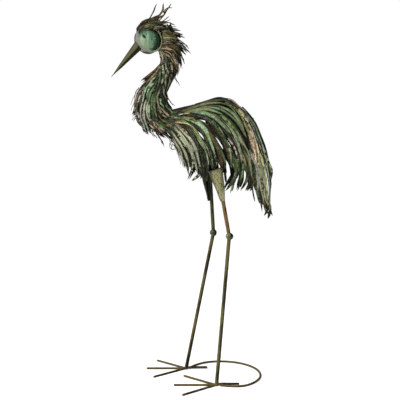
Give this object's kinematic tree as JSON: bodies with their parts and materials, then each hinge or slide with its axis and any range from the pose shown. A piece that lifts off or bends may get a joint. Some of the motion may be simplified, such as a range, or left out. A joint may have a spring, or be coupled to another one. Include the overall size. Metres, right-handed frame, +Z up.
{
  "type": "metal heron figurine",
  "caption": "Standing garden heron welded from cut sheet steel and round rod, with long layered strip feathers, a folded beak, domed cheeks, and wire feet tied by a ring.",
  "frame": {"origin": "centre of the bird's box, on the ground", "axes": "+Z up, the bird looks towards -X, its left side towards -Y"},
  "size_m": [0.4322, 0.2766, 1.0281],
  "materials": {
    "patina_sheet": "satin green and brown patina, streaked along each feather",
    "patina_rod": "satin olive and brown patina",
    "verdigris_cheek": "satin verdigris, brushed",
    "olive_beak": "satin dark olive",
    "hammered_sage": "satin yellow green over hammered sheet"
  },
  "bodies": {
    "root": {"left_middle_toe": "patina_rod", "left_outer_toe": "patina_rod", "left_inner_toe": "patina_rod", "right_middle_toe": "patina_rod", "right_outer_toe": "patina_rod", "right_inner_toe": "patina_rod", "base_loop": "patina_rod", "left_lower_leg": "patina_rod", "left_upper_leg": "patina_rod", "right_lower_leg": "patina_rod", "right_upper_leg": "patina_rod", "left_knee": "patina_rod", "right_knee": "patina_rod", "left_thigh": "hammered_sage", "right_thigh": "hammered_sage", "body_feathers": "patina_sheet", "neck_feathers": "patina_sheet", "crest_feathers": "patina_sheet", "head_band": "verdigris_cheek", "left_cheek": "verdigris_cheek", "right_cheek": "verdigris_cheek", "beak": "olive_beak"}
  },
  "joints": []
}
